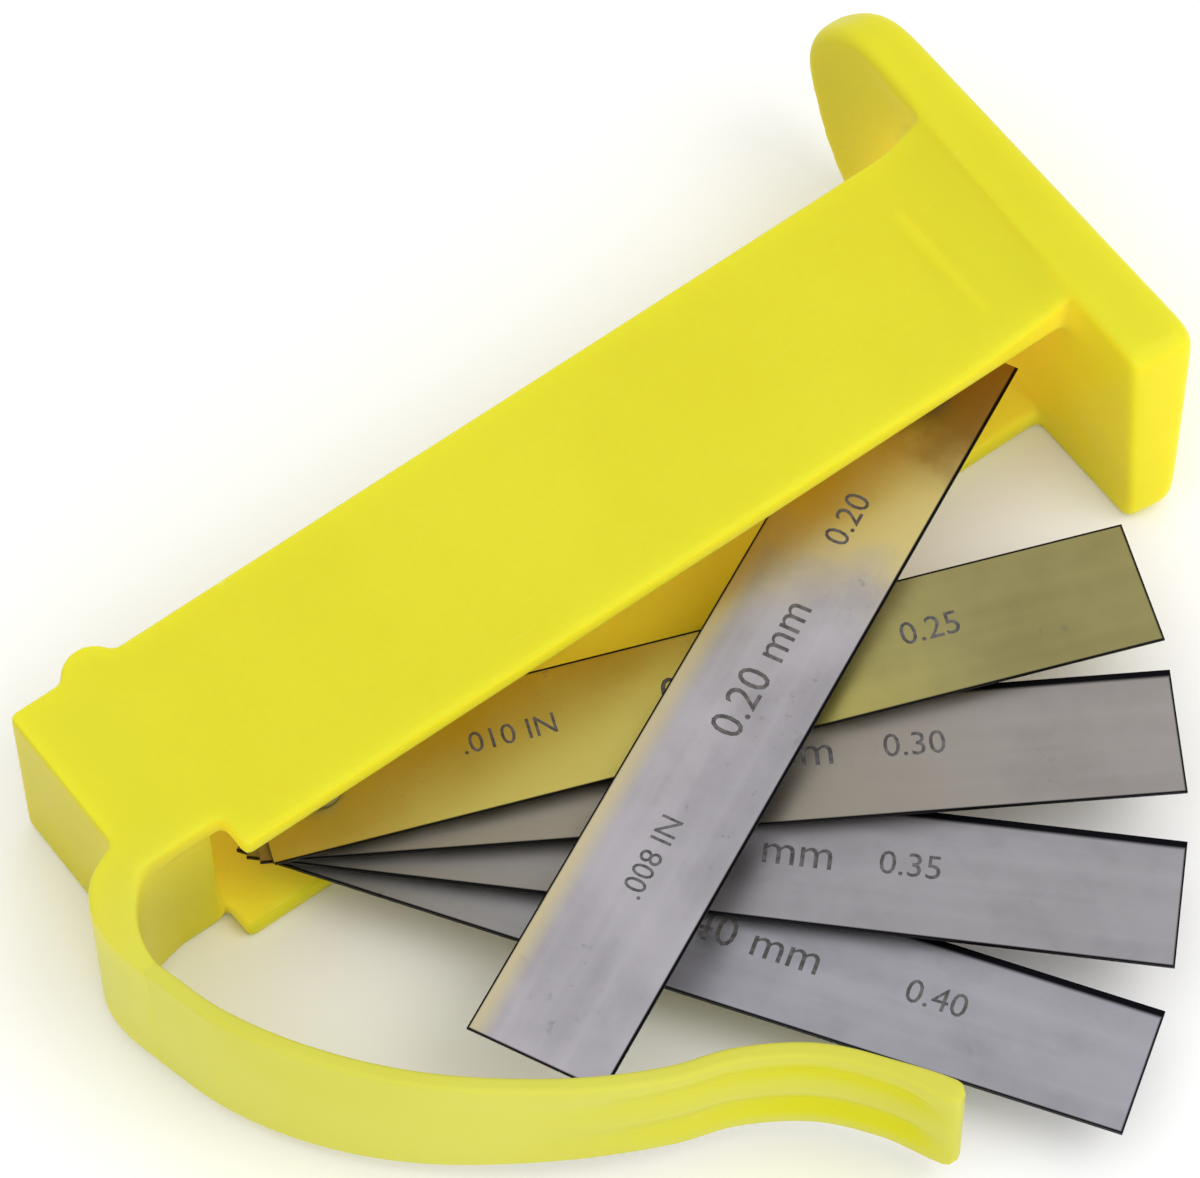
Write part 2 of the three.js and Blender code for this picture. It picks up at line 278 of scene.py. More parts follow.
def holder_plastic(root):
    """The holder's plastic, which is hazy, with painted shade and light on its upright faces, painted
    light in its hollows and paler edges that are partly a painted highlight. root is where the strap
    leaves it.
    """
    n = Plastic("holder_yellow", (0.68, 0.65, 0.032, 1), (0.66, 0.625, 0.027, 1))
    worn = (0.80, 0.77, 0.18, 1)
    # painted light and shade: upright faces take a warm, lighter colour below the channel's mouth and a
    # darker one elsewhere, for how the light falls on them
    below, shaded_beside = (0.80, 0.69, 0.024, 1), (0.50, 0.435, 0.013, 1)
    painted_side_tone = n.mix(n.span(n.axes(n.place)["Y"], *SIDE_CHANGE_Y), below, shaded_beside)
    upward = n.axes(n.add("NewGeometry").outputs["Normal"])["Z"]
    n.tint(n.span(upward, *SIDE_UPWARD, SIDE_SHARE, 0.0), painted_side_tone)
    # a faint glow stands for light that comes through the thin plates into the hollows
    n.constant("Emission Color", (0.95, 0.68, 0.09, 1))
    n.drive("Emission Strength", n.span(n.open_air, *GLOW_AIR, GLOW_STRENGTH, 0.0))
    # towards the strap's root the colour becomes the strap's and the haze ends
    away = n.add("VectorMath", operation="DISTANCE")
    n.link(n.place, away.inputs[0])
    away.inputs[1].default_value = root
    near = n.span(away.outputs["Value"], ROOT_REACH * 0.25, ROOT_REACH, 1.0, 0.0)
    n.tint(near, STRAP_PALE)
    n.drive("Subsurface Weight", n.math("MULTIPLY", n.math("SUBTRACT", 1.0, near), HAZE))
    n.constant("Subsurface Radius", HAZE_RADIUS)
    n.constant("Subsurface Scale", HAZE_DEPTH)
    # painted light: the hollows take a warmer, lighter colour, for light bounced round inside them
    n.paint_hollow_light((0.98, 0.80, 0.045, 1))
    # paler along convex edges: partly edge wear, partly a painted highlight like the one rounded edges
    # catch
    edge = n.span(n.add("NewGeometry").outputs["Pointiness"], *EDGE_POINTINESS)
    n.tint(n.math("MULTIPLY", edge, EDGE_WEAR_AND_HIGHLIGHT), worn)
    return n.finish(worn)


def strap_plastic():
    """The strap's plastic, which is paler, with painted shade in its two grooves and painted light in its
    hollows.
    """
    n = Plastic("strap_yellow", STRAP_PALE, (0.575, 0.56, 0.065, 1))
    # painted light: a warmer colour in the strap's hollows, for light bounced round inside them
    n.paint_hollow_light((0.68, 0.61, 0.05, 1))
    # painted shade: a deeper, more saturated yellow along the two grooves
    axes = n.axes(n.place)
    off_middle = n.math("ABSOLUTE", n.math("SUBTRACT", axes["Z"], STRAP_MIDDLE * MM))
    off_groove = n.math("ABSOLUTE", n.math("SUBTRACT", off_middle, GROOVE_OFFSET))
    across = n.span(off_groove, GROOVE_REACH * 0.3, GROOVE_REACH, 1.0, 0.0)
    along = n.math("MULTIPLY", n.span(axes["Y"], GROOVE_FULL_Y, GROOVE_START_Y, 1.0, 0.0),
                   n.span(axes["Y"], GROOVE_END_Y, GROOVE_LAST_Y))
    n.tint(n.math("MULTIPLY", across, along), (0.60, 0.58, 0.014, 1))
    return n.finish((0.76, 0.75, 0.22, 1))


# leaf steel: its noises, in cycles per metre, and along and across the leaf for the stretched ones
LEAF_GRAIN, LEAF_BANDS = (90.0, 4200.0, 1.0), (14.0, 330.0, 1.0)
SMUDGE_SCALE, BLOT_SCALE = 95.0, 900.0
DULL_SHARE, BRIGHT_SHARE = 0.80, 1.18   # of the steel's own colour
WAVER = 14 * MM         # the range by which smudges move the ends of the painted tint and the brown painted shade near the pivot
# colours of the brown painted shade near the pivot and of real stains
PAINTED_SHADE_BROWN, STAIN = (0.26, 0.15, 0.05, 1), (0.20, 0.185, 0.18, 1)
# colour of the painted dark lines along the leaves' edges, painted shade
PAINTED_DARK_EDGE = (0.006, 0.006, 0.008, 1)
LEAF_ROUGHNESS, LEAF_ANISOTROPY = (0.34, 0.46), 0.45


def leaf_steel(name, pivot, angle, half_width, reach, look):
    """Rolled spring steel in a leaf's own axes: lengthwise grain, smudges, a painted tint of light, shade
    and the holder's reflected yellow near the pivot, and painted dark edge lines.
    """
    n = Nodes(name)
    mapping = n.add("Mapping", vector_type="TEXTURE")
    n.link(n.add("TexCoord").outputs["Object"], mapping.inputs["Vector"])
    mapping.inputs["Location"].default_value = (pivot.x, pivot.y, 0)
    mapping.inputs["Rotation"].default_value = (0, 0, angle)
    local = mapping.outputs["Vector"]
    axes = n.axes(local)
    along, side = axes["X"], axes["Y"]
    grain = n.noise(n.stretched(local, LEAF_GRAIN), 1.0, 4.0, 0.6)
    band = n.noise(n.stretched(local, LEAF_BANDS), 1.0, 2.0)
    smudge = n.noise(local, SMUDGE_SCALE, 4.0, 0.6)
    blot = n.noise(local, BLOT_SCALE)

    # painted dark edge lines, painted shade and dark reflection along the leaf's edges, on far_leaf_020 a
    # painted shadow along its +y edge: a line of the leaf's own breadth on the +y edge, thin ones
    # elsewhere
    dark_edge = look["dark_edge"] * MM
    upper = n.span(side, half_width - dark_edge, half_width - dark_edge * 0.55)
    lower = n.span(side, -half_width + 0.10 * MM, -half_width + 0.26 * MM, 1.0, 0.0)
    tip = n.span(along, reach - 0.30 * MM, reach - 0.10 * MM)
    edge = n.math("MAXIMUM", n.math("MAXIMUM", upper, lower), tip)

    steel = look["steel"]
    dull = tuple(DULL_SHARE * c for c in steel[:3]) + (1,)
    bright = tuple(min(1.0, BRIGHT_SHARE * c) for c in steel[:3]) + (1,)
    colour = n.mix(n.span(smudge, 0.3, 0.7), steel, dull)
    colour = n.mix(n.math("MULTIPLY", n.span(band, 0.35, 0.7), 0.4), colour, bright)
    # painted light and shade near the pivot, with the holder's yellow painted in as a reflection, fading
    # along the leaf, with a strip that follows the -y edge
    wavering = n.math("ADD", along, n.math("MULTIPLY", n.math("SUBTRACT", smudge, 0.5), WAVER))
    painted_tint_end = look["painted_tint_end"] * MM
    fade = n.span(wavering, painted_tint_end * 0.55, painted_tint_end, 1.0, look["painted_tint_rest"])
    strip = n.span(side, -half_width + 0.4 * MM, -half_width + 2.6 * MM, look["strip"], 0.0)
    colour = n.mix(n.math("MAXIMUM", fade, strip), colour, look["painted_pivot_tint"])
    # painted shade and reflection: brown near the pivot, where the leaf lies in the holder's shade
    if look["painted_shade_end"]:
        colour = n.mix(n.span(wavering, 2 * MM, look["painted_shade_end"] * MM, 0.9, 0.0), colour, PAINTED_SHADE_BROWN)
    stain = n.math("MULTIPLY", n.span(blot, 0.62, 0.72), n.span(smudge, 0.45, 0.65))
    colour = n.mix(n.math("MULTIPLY", stain, 0.3), colour, STAIN)
    # painted shade: the dark lines along the edges
    n.drive("Base Color", n.mix(edge, colour, PAINTED_DARK_EDGE))
    n.constant("Metallic", 1.0)
    rough = n.math("ADD", n.span(smudge, 0.25, 0.75, *LEAF_ROUGHNESS),
                   n.math("MULTIPLY", grain, 0.10))
    n.drive("Roughness", n.math("ADD", rough, n.math("MULTIPLY", stain, 0.12)))
    n.constant("Anisotropic", LEAF_ANISOTROPY)
    n.drive("Normal", n.bump(smudge, 0.15, 0.03 * MM, n.bump(grain, 0.30, 0.01 * MM)))
    return n.material


def plated_steel(name):
    """Dull zinc plate with a fine grain, coloured darker than bare zinc: painted shade, so the near rivet
    sinks into the shade at the front plate's edge.
    """
    n = Nodes(name)
    place = n.add("TexCoord").outputs["Object"]
    cloud = n.noise(place, 420.0, 4.0)
    fine = n.noise(place, 3500.0)
    n.drive("Base Color", n.mix(n.span(cloud, 0.3, 0.7), (0.40, 0.38, 0.33, 1), (0.26, 0.25, 0.23, 1)))
    n.constant("Metallic", 1.0)
    n.drive("Roughness", n.span(cloud, 0.2, 0.8, 0.32, 0.5))
    n.drive("Normal", n.bump(fine, 0.25, 0.01 * MM))
    return n.material


def etched_black(name):
    """Dark etched marking, a little uneven, as acid marking is."""
    n = Nodes(name)
    patch = n.noise(n.add("TexCoord").outputs["Object"], 1800.0)
    n.drive("Base Color", n.mix(n.span(patch, 0.35, 0.7), (0.06, 0.055, 0.055, 1), (0.15, 0.14, 0.145, 1)))
    n.constant("Metallic", 0.3)
    n.drive("Roughness", n.span(patch, 0.3, 0.7, 0.55, 0.75))
    n.drive("Normal", n.bump(patch, 0.3, 0.01 * MM))
    return n.material


# ---------------------------------------------------------------- shared mesh helpers

def new_object(name, points, faces, normals, material):
    """A smooth mesh from points in millimetres, with one normal for each face corner."""
    mesh = bpy.data.meshes.new(name)
    mesh.from_pydata([tuple(p) for p in np.asarray(points) * MM], [], [tuple(f) for f in faces])
    mesh.validate()
    mesh.shade_smooth()
    mesh.normals_split_custom_set([tuple(v) for v in normals])
    mesh.materials.append(material)
    made = bpy.data.objects.new(name, mesh)
    bpy.context.scene.collection.objects.link(made)
    return made


def ease(value, low, high):
    t = np.clip((value - low) / (high - low), 0, 1)
    return t * t * (3 - 2 * t)


def unit(vectors):
    vectors = np.asarray(vectors, float)
    return vectors / np.maximum(np.linalg.norm(vectors, axis=-1, keepdims=True), 1e-12)


# ---------------------------------------------------------------- holder

VOXEL = 0.33            # mm
BAND = 12               # voxels kept on each side of the surface
FIELD_MARGIN = 6        # voxels round the holder's box
EDGE_SOFTNESS = 0.34    # mm, spread of the softening along most edges
FLANGE_SOFTNESS = 1.2   # mm, the same towards the flange
FLANGE_FILLET = 2.6     # mm, spread of the softening that fills the flange's hollow corners
FLANGE_KEEP = 0.22      # mm that the wide softening may not take away
FLANGE_START, FLANGE_END = 80.3, 83.0     # x, where the softer stretch begins and is full


def blurred(field, spread):
    """Gaussian blur, one axis at a time."""
    sigma = spread / VOXEL
    half = int(math.ceil(3 * sigma))
    offsets = np.arange(-half, half + 1)
    weights = np.exp(-0.5 * (offsets / sigma) ** 2)
    weights /= weights.sum()
    for axis in range(3):
        padding = [(half, half) if a == axis else (0, 0) for a in range(3)]
        padded = np.pad(field, padding, mode="edge")
        size = field.shape[axis]
        total = np.zeros_like(field)
        for weight, offset in zip(weights, offsets):
            window = [slice(None)] * 3
            window[axis] = slice(half + offset, half + offset + size)
            total += np.float32(weight) * padded[tuple(window)]
        field = total
    return field


def signed_distance(node, low, shape):
    mesh = frame["nodes"][node].data
    mesh.calc_loop_triangles()
    points = np.empty(len(mesh.vertices) * 3, np.float32)
    mesh.vertices.foreach_get("co", points)
    triangles = np.empty(len(mesh.loop_triangles) * 3, np.int32)
    mesh.loop_triangles.foreach_get("vertices", triangles)
    grid = openvdb.FloatGrid.createLevelSetFromPolygons(
        points.reshape(-1, 3) / MM, triangles=triangles.reshape(-1, 3).astype(np.uint32),
        transform=openvdb.createLinearTransform(VOXEL), halfWidth=BAND)
    field = np.full(shape, BAND * VOXEL, np.float32)
    grid.copyToArray(field, ijk=tuple(int(v) for v in low))
    return field


def smooth_union(a, b, blend):
    h = np.clip(0.5 + 0.5 * (b - a) / blend, 0, 1)
    return b + (a - b) * h - blend * h * (1 - h)


def capsule(x, y, z, start, end, radius):
    start, end = np.array(start, np.float32), np.array(end, np.float32)
    line = end - start
    t = ((x - start[0]) * line[0] + (y - start[1]) * line[1] + (z - start[2]) * line[2]) / (line @ line)
    t = np.clip(t, 0, 1)
    return np.sqrt((x - start[0] - t * line[0]) ** 2 + (y - start[1] - t * line[1]) ** 2
                   + (z - start[2] - t * line[2]) ** 2) - radius


# the front plate sweeps up to the flange's edge: where the sweep starts and how high it is there,
# and where it meets the edge, each at the mouth and at the spine, in mm
SWEEP_MOUTH_Y, SWEEP_SPINE_Y = -5.4, 18.7
SWEEP_START_X, SWEEP_START_Z = 77.6, (21.25, 20.03)
SWEEP_END_X, SWEEP_END_Z = (82.1, 83.1), 23.15
SWEEP_POWER = 1.8       # how sharply it turns up at the end
SWEEP_SLOPE = 0.85      # makes the height over the sweep a distance from it
SWEEP_OVERRUN = 0.5     # mm that it runs on into the flange
SWEEP_UNDERSIDE = 19.0


def sweep(x, y, z):
    share = np.clip((y - SWEEP_MOUTH_Y) / (SWEEP_SPINE_Y - SWEEP_MOUTH_Y), 0, 1)
    start_z = SWEEP_START_Z[0] + (SWEEP_START_Z[1] - SWEEP_START_Z[0]) * share
    end_x = SWEEP_END_X[0] + (SWEEP_END_X[1] - SWEEP_END_X[0]) * share
    t = np.clip((x - SWEEP_START_X) / (end_x - SWEEP_START_X), 0, 1)
    top = start_z + (SWEEP_END_Z - start_z) * t ** SWEEP_POWER
    middle, half = (SWEEP_MOUTH_Y + SWEEP_SPINE_Y) / 2, (SWEEP_SPINE_Y - SWEEP_MOUTH_Y) / 2
    ends = np.maximum(SWEEP_START_X - x, x - end_x - SWEEP_OVERRUN)
    sides = np.maximum(np.abs(y - middle) - half, ends)
    return np.maximum(np.maximum(SWEEP_SLOPE * (z - top), sides), SWEEP_UNDERSIDE - z)


CREASE = ((75.2, -0.6, 20.58), (75.2, 12.4, 20.16))     # faint ridge across the front plate, in mm
CREASE_RADIUS, CREASE_BLEND = 0.5, 0.3
TONGUE_REACH = 1.5      # mm that the strap's root is drawn before and past its end
ROOT_CUT_REACH = 4      # mm from the end of the root, within which it is cut off square


def make_holder(material, strap):
    low_corner, high_corner = (np.array(v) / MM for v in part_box("holder"))
    low = np.floor(low_corner / VOXEL).astype(int) - FIELD_MARGIN
    high = np.ceil(high_corner / VOXEL).astype(int) + FIELD_MARGIN
    field = signed_distance("holder", low, tuple(high - low + 1))
    x, y, z = (np.arange(a, b + 1, dtype=np.float32) * VOXEL for a, b in zip(low, high))
    x, y, z = x[:, None, None], y[None, :, None], z[None, None, :]

    field = smooth_union(field, capsule(x, y, z, *CREASE, CREASE_RADIUS), CREASE_BLEND)
    field = np.minimum(field, sweep(x, y, z))
    # the strap's root runs on before the softening, so that its end can be cut off square
    start, tangent = strap.line[0], strap.tangent(0.0)
    ahead = (x - start[0]) * tangent[0] + (y - start[1]) * tangent[1]
    sideways = (y - start[1]) * tangent[0] - (x - start[0]) * tangent[1]
    tongue = np.maximum(np.maximum(np.abs(ahead) - TONGUE_REACH, np.abs(sideways) - STRAP_THICKNESS / 2),
                        np.abs(z - STRAP_MIDDLE) - STRAP_WIDTH / 2)
    field = np.minimum(field, tongue)
    near = blurred(field, EDGE_SOFTNESS)
    # towards the flange hollow corners fill widely, and strong edges are rounded with thin walls kept
    first = int((FLANGE_START - 3 * FLANGE_FILLET) / VOXEL) - low[0]
    rounded = np.maximum(near[first:], blurred(field[first:], FLANGE_SOFTNESS) - FLANGE_KEEP)
    soft = near.copy()
    soft[first:] = np.minimum(rounded, blurred(field[first:], FLANGE_FILLET))
    field = near + (soft - near) * ease(x, FLANGE_START, FLANGE_END)
    near_root = np.hypot(x - start[0], y - start[1]) < ROOT_CUT_REACH
    field = np.where(near_root, np.maximum(field, ahead), field)

    grid = openvdb.FloatGrid(BAND * VOXEL)
    grid.transform = openvdb.createLinearTransform(VOXEL)
    grid.copyFromArray(field.astype(np.float32), ijk=tuple(int(v) for v in low))
    points, quads = grid.convertToQuads(isovalue=0.0)
    points = np.asarray(points, float)
    quads = np.asarray(quads)

    slope = np.stack(np.gradient(field), -1)
    place = points / VOXEL - low
    cell = np.clip(np.floor(place).astype(int), 0, np.array(field.shape) - 2)
    part = place - cell
    normal = np.zeros_like(points)
    for corner in np.ndindex(2, 2, 2):
        weight = np.prod(np.where(corner, part, 1 - part), axis=1)
        i, j, k = (cell + corner).T
        normal += weight[:, None] * slope[i, j, k]
    normal = unit(normal)
    a, b, c, _ = (points[quads[:, i]] for i in range(4))
    facing = np.einsum("ij,ij->i", np.cross(b - a, c - a), normal[quads[:, 0]])
    if np.median(facing) < 0:
        quads = quads[:, ::-1]
    holder = new_object("holder_shell", points, quads, normal[quads.ravel()], material)
    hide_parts("holder")
    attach(holder, "holder")


# ---------------------------------------------------------------- strap

# centre line in X-Y, in mm, from the end of the root to the tip: the CAD's, with the last two
# points moved by up to 0.5 mm
STRAP_LINE = [(-24.3, -9.9), (-22.3, -16.9), (-18.3, -24.3), (-11.9, -31.9), (-2.1, -39.5),
              (6.3, -44.1), (12.1, -46.2), (18.0, -50.1), (21.95, -55.0), (25.4, -61.0)]
STRAP_THICKNESS = 1.6
STRAP_WIDTH, STRAP_NARROWING = 17.6, 4.2
STRAP_MIDDLE = 10.0     # height of the middle of the strap's width
STRAP_PIECES = 6
RING_STEP = 0.5
ROOT_OVERLAP = 0.8      # mm that the strap's mesh reaches into its root
SKIN_MARGIN = 0.6       # mm in from each end of a skin


def centripetal(points, per_span=80):
    """Dense points on the centripetal Catmull-Rom curve through the given ones."""
    p = np.array(points, float)
    p = np.vstack([2 * p[0] - p[1], p, 2 * p[-1] - p[-2]])
    out = []
    for i in range(1, len(p) - 2):
        x0, x1, x2, x3 = p[i - 1:i + 3]
        d0, d1, d2 = (np.linalg.norm(b - a) ** 0.5 for a, b in ((x0, x1), (x1, x2), (x2, x3)))
        m1 = ((x1 - x0) / d0 - (x2 - x0) / (d0 + d1) + (x2 - x1) / d1) * d1
        m2 = ((x2 - x1) / d1 - (x3 - x1) / (d1 + d2) + (x3 - x2) / d2) * d1
        t = np.linspace(0, 1, per_span, endpoint=False)[:, None]
        out.append((2 * t**3 - 3 * t**2 + 1) * x1 + (t**3 - 2 * t**2 + t) * m1
                   + (-2 * t**3 + 3 * t**2) * x2 + (t**3 - t**2) * m2)
    return np.vstack([*out, p[-2:-1]])


class Strap:
    """The strap's surface as a function of distance along it and place round its section."""

    FACE_POINTS = 26        # across the outer and inner faces
    CORNER_POINTS = 8       # round each rim
    CORNER = 0.55           # mm, rounding of the rims
    NARROWS = (0.15, 0.65)  # where the width changes, in shares of the length
    BEAD_PLACE, BEAD = (0.90, 0.98), 0.7            # shares of the length, and mm
    ROOT_SLACK, ROOT_STEP = 0.1, 0.2                # mm lost inside the root, and over what distance
    TIP_THICKNESS, TIP_NARROWING = 0.35, 0.8        # what is left at the very end, and mm lost
    GROOVE_PLACE, GROOVE_END, GROOVE_DEPTH = (0.44, 0.66), 0.07, 0.62   # shares, and mm
    GROOVE_MIDDLE, GROOVE_SPREAD = 0.42, 0.21       # shares of half the width
    SLOPE_STEP = 0.2        # mm to each side, for the direction of the line
    NORMAL_STEP = 0.15      # mm to each side, for the surface's normals

    def __init__(self):
        self.line = centripetal(STRAP_LINE)
        steps = np.linalg.norm(np.diff(self.line, axis=0), axis=1)
        self.arc = np.concatenate([[0], np.cumsum(steps)])
        self.length = self.arc[-1]

    def tangent(self, s):
        front = self.on_line(min(s + self.SLOPE_STEP, self.length))
        ahead = front - self.on_line(max(s - self.SLOPE_STEP, 0.0))
        return ahead / np.linalg.norm(ahead)

    def on_line(self, s):
        return np.array([np.interp(s, self.arc, self.line[:, i]) for i in range(2)])

    def centre(self, s):
        """The centre line, carried straight back into the root where s is below zero."""
        return self.on_line(s) if s >= 0 else self.line[0] + s * self.tangent(0.0)

    def ring(self, s):
        share = max(0.0, s / self.length)
        slack = self.ROOT_SLACK * ease(-s, 0.0, self.ROOT_STEP)     # slips inside the root
        thickness = STRAP_THICKNESS + self.BEAD * ease(share, *self.BEAD_PLACE) - slack
        width = STRAP_WIDTH - STRAP_NARROWING * ease(share, *self.NARROWS) - slack
        end = self.length - s
        if end < thickness / 2:                     # rounded end
            round_off = math.sqrt(max(0.0, 1 - (1 - end / (thickness / 2)) ** 2))
            thickness *= self.TIP_THICKNESS + (1 - self.TIP_THICKNESS) * round_off
            width -= self.TIP_NARROWING * (1 - round_off)

        radius = min(self.CORNER, thickness * 0.42)
        half_t, half_w = thickness / 2, width / 2
        face = np.linspace(-1, 1, self.FACE_POINTS) * (half_w - radius)
        outer = np.column_stack([np.full(len(face), -half_t), face])
        inner = np.column_stack([np.full(len(face), half_t), -face])
        turn = np.linspace(0, math.pi, 2 * self.CORNER_POINTS)[1:-1]

        def rim(sign):
            """The rounded rim at one end of the width, walked from one face to the other."""
            across = -sign * np.cos(turn)
            return np.column_stack([np.sign(across) * (half_t - radius) + radius * across,
                                    sign * (half_w - radius + radius * np.sin(turn))])

        outline = np.vstack([outer, rim(1), inner, rim(-1)])
        # two shallow grooves in the outer face, with a rib between them, towards the tip
        depth = (self.GROOVE_DEPTH * ease(share, *self.GROOVE_PLACE)
                 * ease(1.0 - share, 0.0, self.GROOVE_END))
        off_groove = np.abs(outline[:, 1] / half_w) - self.GROOVE_MIDDLE
        groove = np.exp(-(off_groove / self.GROOVE_SPREAD) ** 2)
        outside = outline[:, 0] < -half_t * 0.6
        outline[outside, 0] += depth * groove[outside]

        tangent = self.tangent(max(s, 0.0))
        normal = np.array([-tangent[1], tangent[0]])
        points = np.empty((len(outline), 3))
        points[:, :2] = self.centre(s) + outline[:, :1] * normal
        points[:, 2] = STRAP_MIDDLE + outline[:, 1]
        return points

    def piece(self, name, begin, end, material):
        count = max(3, int(round((end - begin) / RING_STEP)))
        stations = np.linspace(begin, end, count + 1)
        rings = np.array([self.ring(s) for s in stations])
        around = rings.shape[1]
        before = np.array([self.ring(s - self.NORMAL_STEP) for s in stations])
        after = np.array([self.ring(min(self.length, s + self.NORMAL_STEP)) for s in stations])
        round_ring = np.roll(rings, -1, axis=1) - np.roll(rings, 1, axis=1)
        normals = unit(np.cross(round_ring, after - before))
        outward = rings - rings.mean(axis=1, keepdims=True)
        if np.sum(normals * outward) < 0:
            normals = -normals
        points, flat = rings.reshape(-1, 3), normals.reshape(-1, 3)

        faces = [(i * around + k, i * around + (k + 1) % around,
                  (i + 1) * around + (k + 1) % around, (i + 1) * around + k)
                 for i in range(count) for k in range(around)]
        a, b, c = (points[v] for v in faces[0][:3])
        if np.dot(np.cross(b - a, c - a), flat[faces[0][0]]) < 0:
            faces = [face[::-1] for face in faces]
        corner_normals = [flat[v] for face in faces for v in face]
        for ring, direction in ((0, -1), (count, 1)):
            cap = [ring * around + k for k in range(around)]
            facing = np.array([*self.tangent(max(stations[ring], 0.0)), 0.0]) * direction
            a, b, c = (points[cap[k]] for k in (0, around // 3, 2 * around // 3))
            if np.dot(np.cross(b - a, c - a), facing) < 0:
                cap = cap[::-1]
            faces.append(tuple(cap))
            corner_normals.extend([facing] * len(cap))
        return new_object(name, points, faces, corner_normals, material)


def make_strap(strap, material):
    """Skins from the middle of one jointed length to the middle of the next."""
    cuts = [strap.length * (i + 0.5) / STRAP_PIECES for i in range(STRAP_PIECES)]
    starts = [-ROOT_OVERLAP] + cuts
    ends = cuts + [strap.length]
    bodies = ["holder"] + [f"strap_{i + 1}" for i in range(STRAP_PIECES)]
    for i, (begin, end) in enumerate(zip(starts, ends)):
        piece = strap.piece(f"strap_skin_{i}", begin, end, material)
        if i == 0:
            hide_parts("strap_1")
        elif i < STRAP_PIECES:
            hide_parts(f"strap_{i + 1}")
        if i == STRAP_PIECES:
            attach(piece, bodies[i])
            continue
        lead, trail = (np.array([*strap.centre(s), STRAP_MIDDLE]) * MM
                       for s in (begin + SKIN_MARGIN, end - SKIN_MARGIN))
        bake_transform(piece)


# ---------------------------------------------------------------- leaves and pivots

LEAF_BEVEL, PIVOT_BEVEL = 0.07 * MM, 0.1 * MM
BEVEL_SEGMENTS, BEVEL_ANGLE = 2, math.radians(40)
# numerals: half their depth, and how far their middle is above the leaf
MARK_DEPTH, MARK_LIFT = 0.008 * MM, 0.002 * MM
INCH_SIZE, MAIN_SIZE, CODE_SIZE = 3.0, 4.4, 3.4     # mm, heights of the lines of numerals
MARK_SHIFT = 0.6        # mm across the leaf, for marks that read the way the leaf points
EYE_REACH = 5 * MM      # round the pivot, where a leaf's points don't tell its direction


def bevelled(node, width):
    bevel = frame["nodes"][node].modifiers.new("rounded edges", "BEVEL")
    bevel.width, bevel.segments = width, BEVEL_SEGMENTS
    bevel.limit_method, bevel.angle_limit = "ANGLE", BEVEL_ANGLE
    bevel.harden_normals = True


def only_material(node, material):
    mesh = frame["nodes"][node].data
    mesh.materials.clear()
    mesh.materials.append(material)


def mark(name, text, size, pivot, angle, along, across, top, material, body):
    """A line of etched numerals, lying in the leaf's upper face."""
    curve = bpy.data.curves.new(name, "FONT")
    curve.body, curve.size, curve.extrude = text, size * MM, MARK_DEPTH
    curve.align_x, curve.align_y = "CENTER", "CENTER"
    curve.resolution_u = 3
    text_object = bpy.data.objects.new(name + "_text", curve)
    bpy.context.scene.collection.objects.link(text_object)
    bpy.context.view_layer.update()
    graph = bpy.context.evaluated_depsgraph_get()
    mesh = bpy.data.meshes.new_from_object(text_object.evaluated_get(graph))
    bpy.data.objects.remove(text_object)
    reading = angle if math.cos(angle) > 0 else angle + math.pi
    on_leaf = Matrix.Translation((pivot.x, pivot.y, top + MARK_LIFT)) @ Matrix.Rotation(angle, 4, "Z")
    spot = Matrix.Translation((along * MM, across * MM, 0)) @ Matrix.Rotation(reading - angle, 4, "Z")
    mesh.transform(on_leaf @ spot)
    mesh.materials.clear()
    mesh.materials.append(material)
    made = bpy.data.objects.new(name, mesh)
    bpy.context.scene.collection.objects.link(made)
    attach(made, body)


# each leaf's steel colour and the colour of its painted tint, which paints in light, shade and the
# holder's yellow reflection near the pivot; how far from the pivot that tint and the brown painted shade
# reach, in mm;
# how much of the tint there is beyond that, and along the -y edge; how broad the painted dark line on the
# upper edge is, in mm; and where the inch, main and code marks stand along the leaf, in mm
LEAF_LOOKS = {
    "near_leaf_040": dict(steel=(0.36, 0.355, 0.395, 1), painted_pivot_tint=(0.30, 0.29, 0.29, 1), painted_tint_end=30,
                          painted_tint_rest=0.0, painted_shade_end=0, strip=0.0, dark_edge=1.0, marks=(18.0, 40.0, 58.5)),
    "near_leaf_035": dict(steel=(0.345, 0.33, 0.355, 1), painted_pivot_tint=(0.29, 0.275, 0.26, 1), painted_tint_end=40,
                          painted_tint_rest=0.0, painted_shade_end=0, strip=0.0, dark_edge=1.0, marks=(18.0, 39.0, 53.6)),
    "near_leaf_030": dict(steel=(0.34, 0.32, 0.325, 1), painted_pivot_tint=(0.31, 0.28, 0.23, 1), painted_tint_end=70,
                          painted_tint_rest=0.3, painted_shade_end=0, strip=0.0, dark_edge=0.95, marks=(18.0, 39.0, 54.0)),
    "near_leaf_025": dict(steel=(0.26, 0.235, 0.115, 1), painted_pivot_tint=(0.54, 0.475, 0.13, 1), painted_tint_end=62,
                          painted_tint_rest=0.15, painted_shade_end=0, strip=0.0, dark_edge=0.25, marks=(18.0, 40.0, 57.8)),
    "far_leaf_020": dict(steel=(0.43, 0.41, 0.445, 1), painted_pivot_tint=(0.62, 0.52, 0.22, 1), painted_tint_end=27,
                         painted_tint_rest=0.0, painted_shade_end=10.5, strip=0.6, dark_edge=0.38, marks=(55.5, 33.8, 16.2)),
}


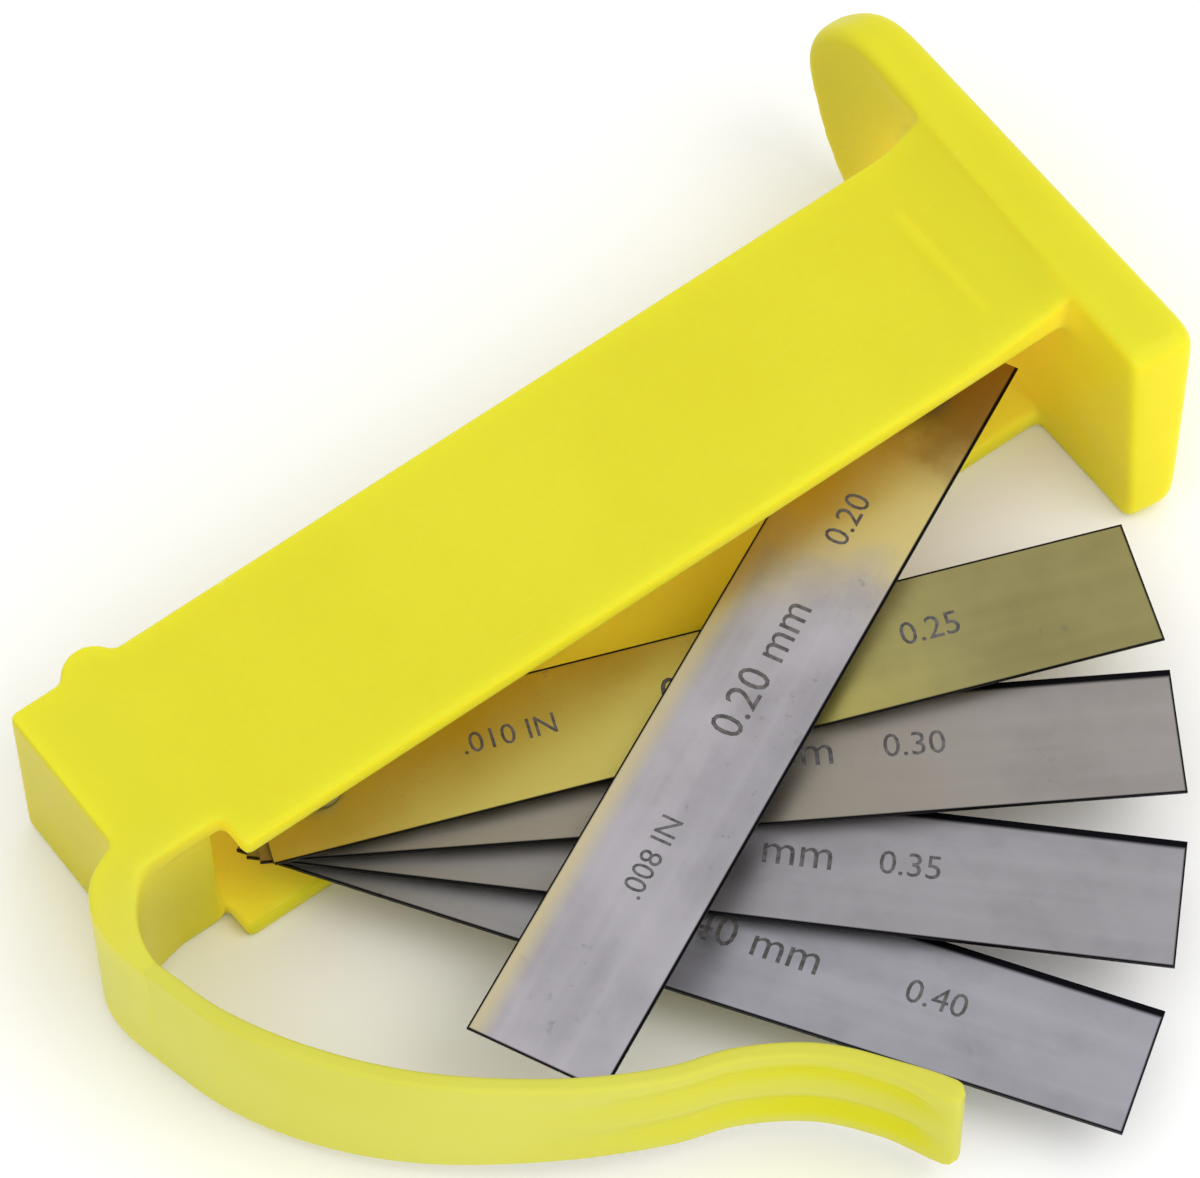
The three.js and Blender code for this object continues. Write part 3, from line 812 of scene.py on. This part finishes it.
def make_leaves():
    etched = etched_black("etched_marks")
    pivots = {j["child"]: Vector(j["pos_m"]) for j in frame["joints"]}
    for node, look in LEAF_LOOKS.items():
        inch_at, main_at, code_at = look["marks"]
        mesh = frame["nodes"][node].data
        pivot = pivots[node]
        spots = np.array([v.co for v in mesh.vertices]) - np.array(pivot)
        outer = spots[np.linalg.norm(spots[:, :2], axis=1) > EYE_REACH][:, :2]
        spread = np.linalg.norm(outer, axis=1)
        corners = outer[spread > spread.max() - 0.5 * MM]         # the two corners of the tip
        middle = corners.mean(axis=0)
        rough = math.atan2(middle[1], middle[0])
        turns = np.arctan2(corners[:, 1] * math.cos(rough) - corners[:, 0] * math.sin(rough),
                           corners[:, 0] * math.cos(rough) + corners[:, 1] * math.sin(rough))
        angle = rough + (turns.min() + turns.max()) / 2
        turn = np.array([[math.cos(angle), math.sin(angle)], [-math.sin(angle), math.cos(angle)]])
        local = outer @ turn.T
        half_width, reach = float(np.abs(local[:, 1]).max()), float(local[:, 0].max())
        only_material(node, leaf_steel(node + "_steel", pivot, angle, half_width, reach, look))
        bevelled(node, LEAF_BEVEL)

        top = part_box(node)[1].z
        gauge = int(node[-3:])                      # hundredths of a millimetre
        inches = gauge / 100 / 25.4
        shift = MARK_SHIFT if math.cos(angle) > 0 else 0.0
        for kind, text, size, at in (
                ("inch", f".{round(inches * 1000):03d} IN", INCH_SIZE, inch_at),
                ("main", f"{gauge / 100:.2f} mm", MAIN_SIZE, main_at),
                ("code", f"{gauge / 100:.2f}", CODE_SIZE, code_at)):
            mark(f"{node}_{kind}", text, size, pivot, angle, at, shift, top, etched, node)


def make_pivots():
    steel = plated_steel("zinc_plate")
    for node in ("near_rivet", "far_rivet", "near_spacer_1", "near_spacer_2", "near_spacer_3",
                 "far_spacer"):
        only_material(node, steel)
        bevelled(node, PIVOT_BEVEL)


# ---------------------------------------------------------------- build

make_camera()
make_studio()
strap_form = Strap()
strap_root = (*(strap_form.line[0] * MM), STRAP_MIDDLE * MM)
make_holder(holder_plastic(strap_root), strap_form)
make_strap(strap_form, strap_plastic())
make_leaves()
make_pivots()
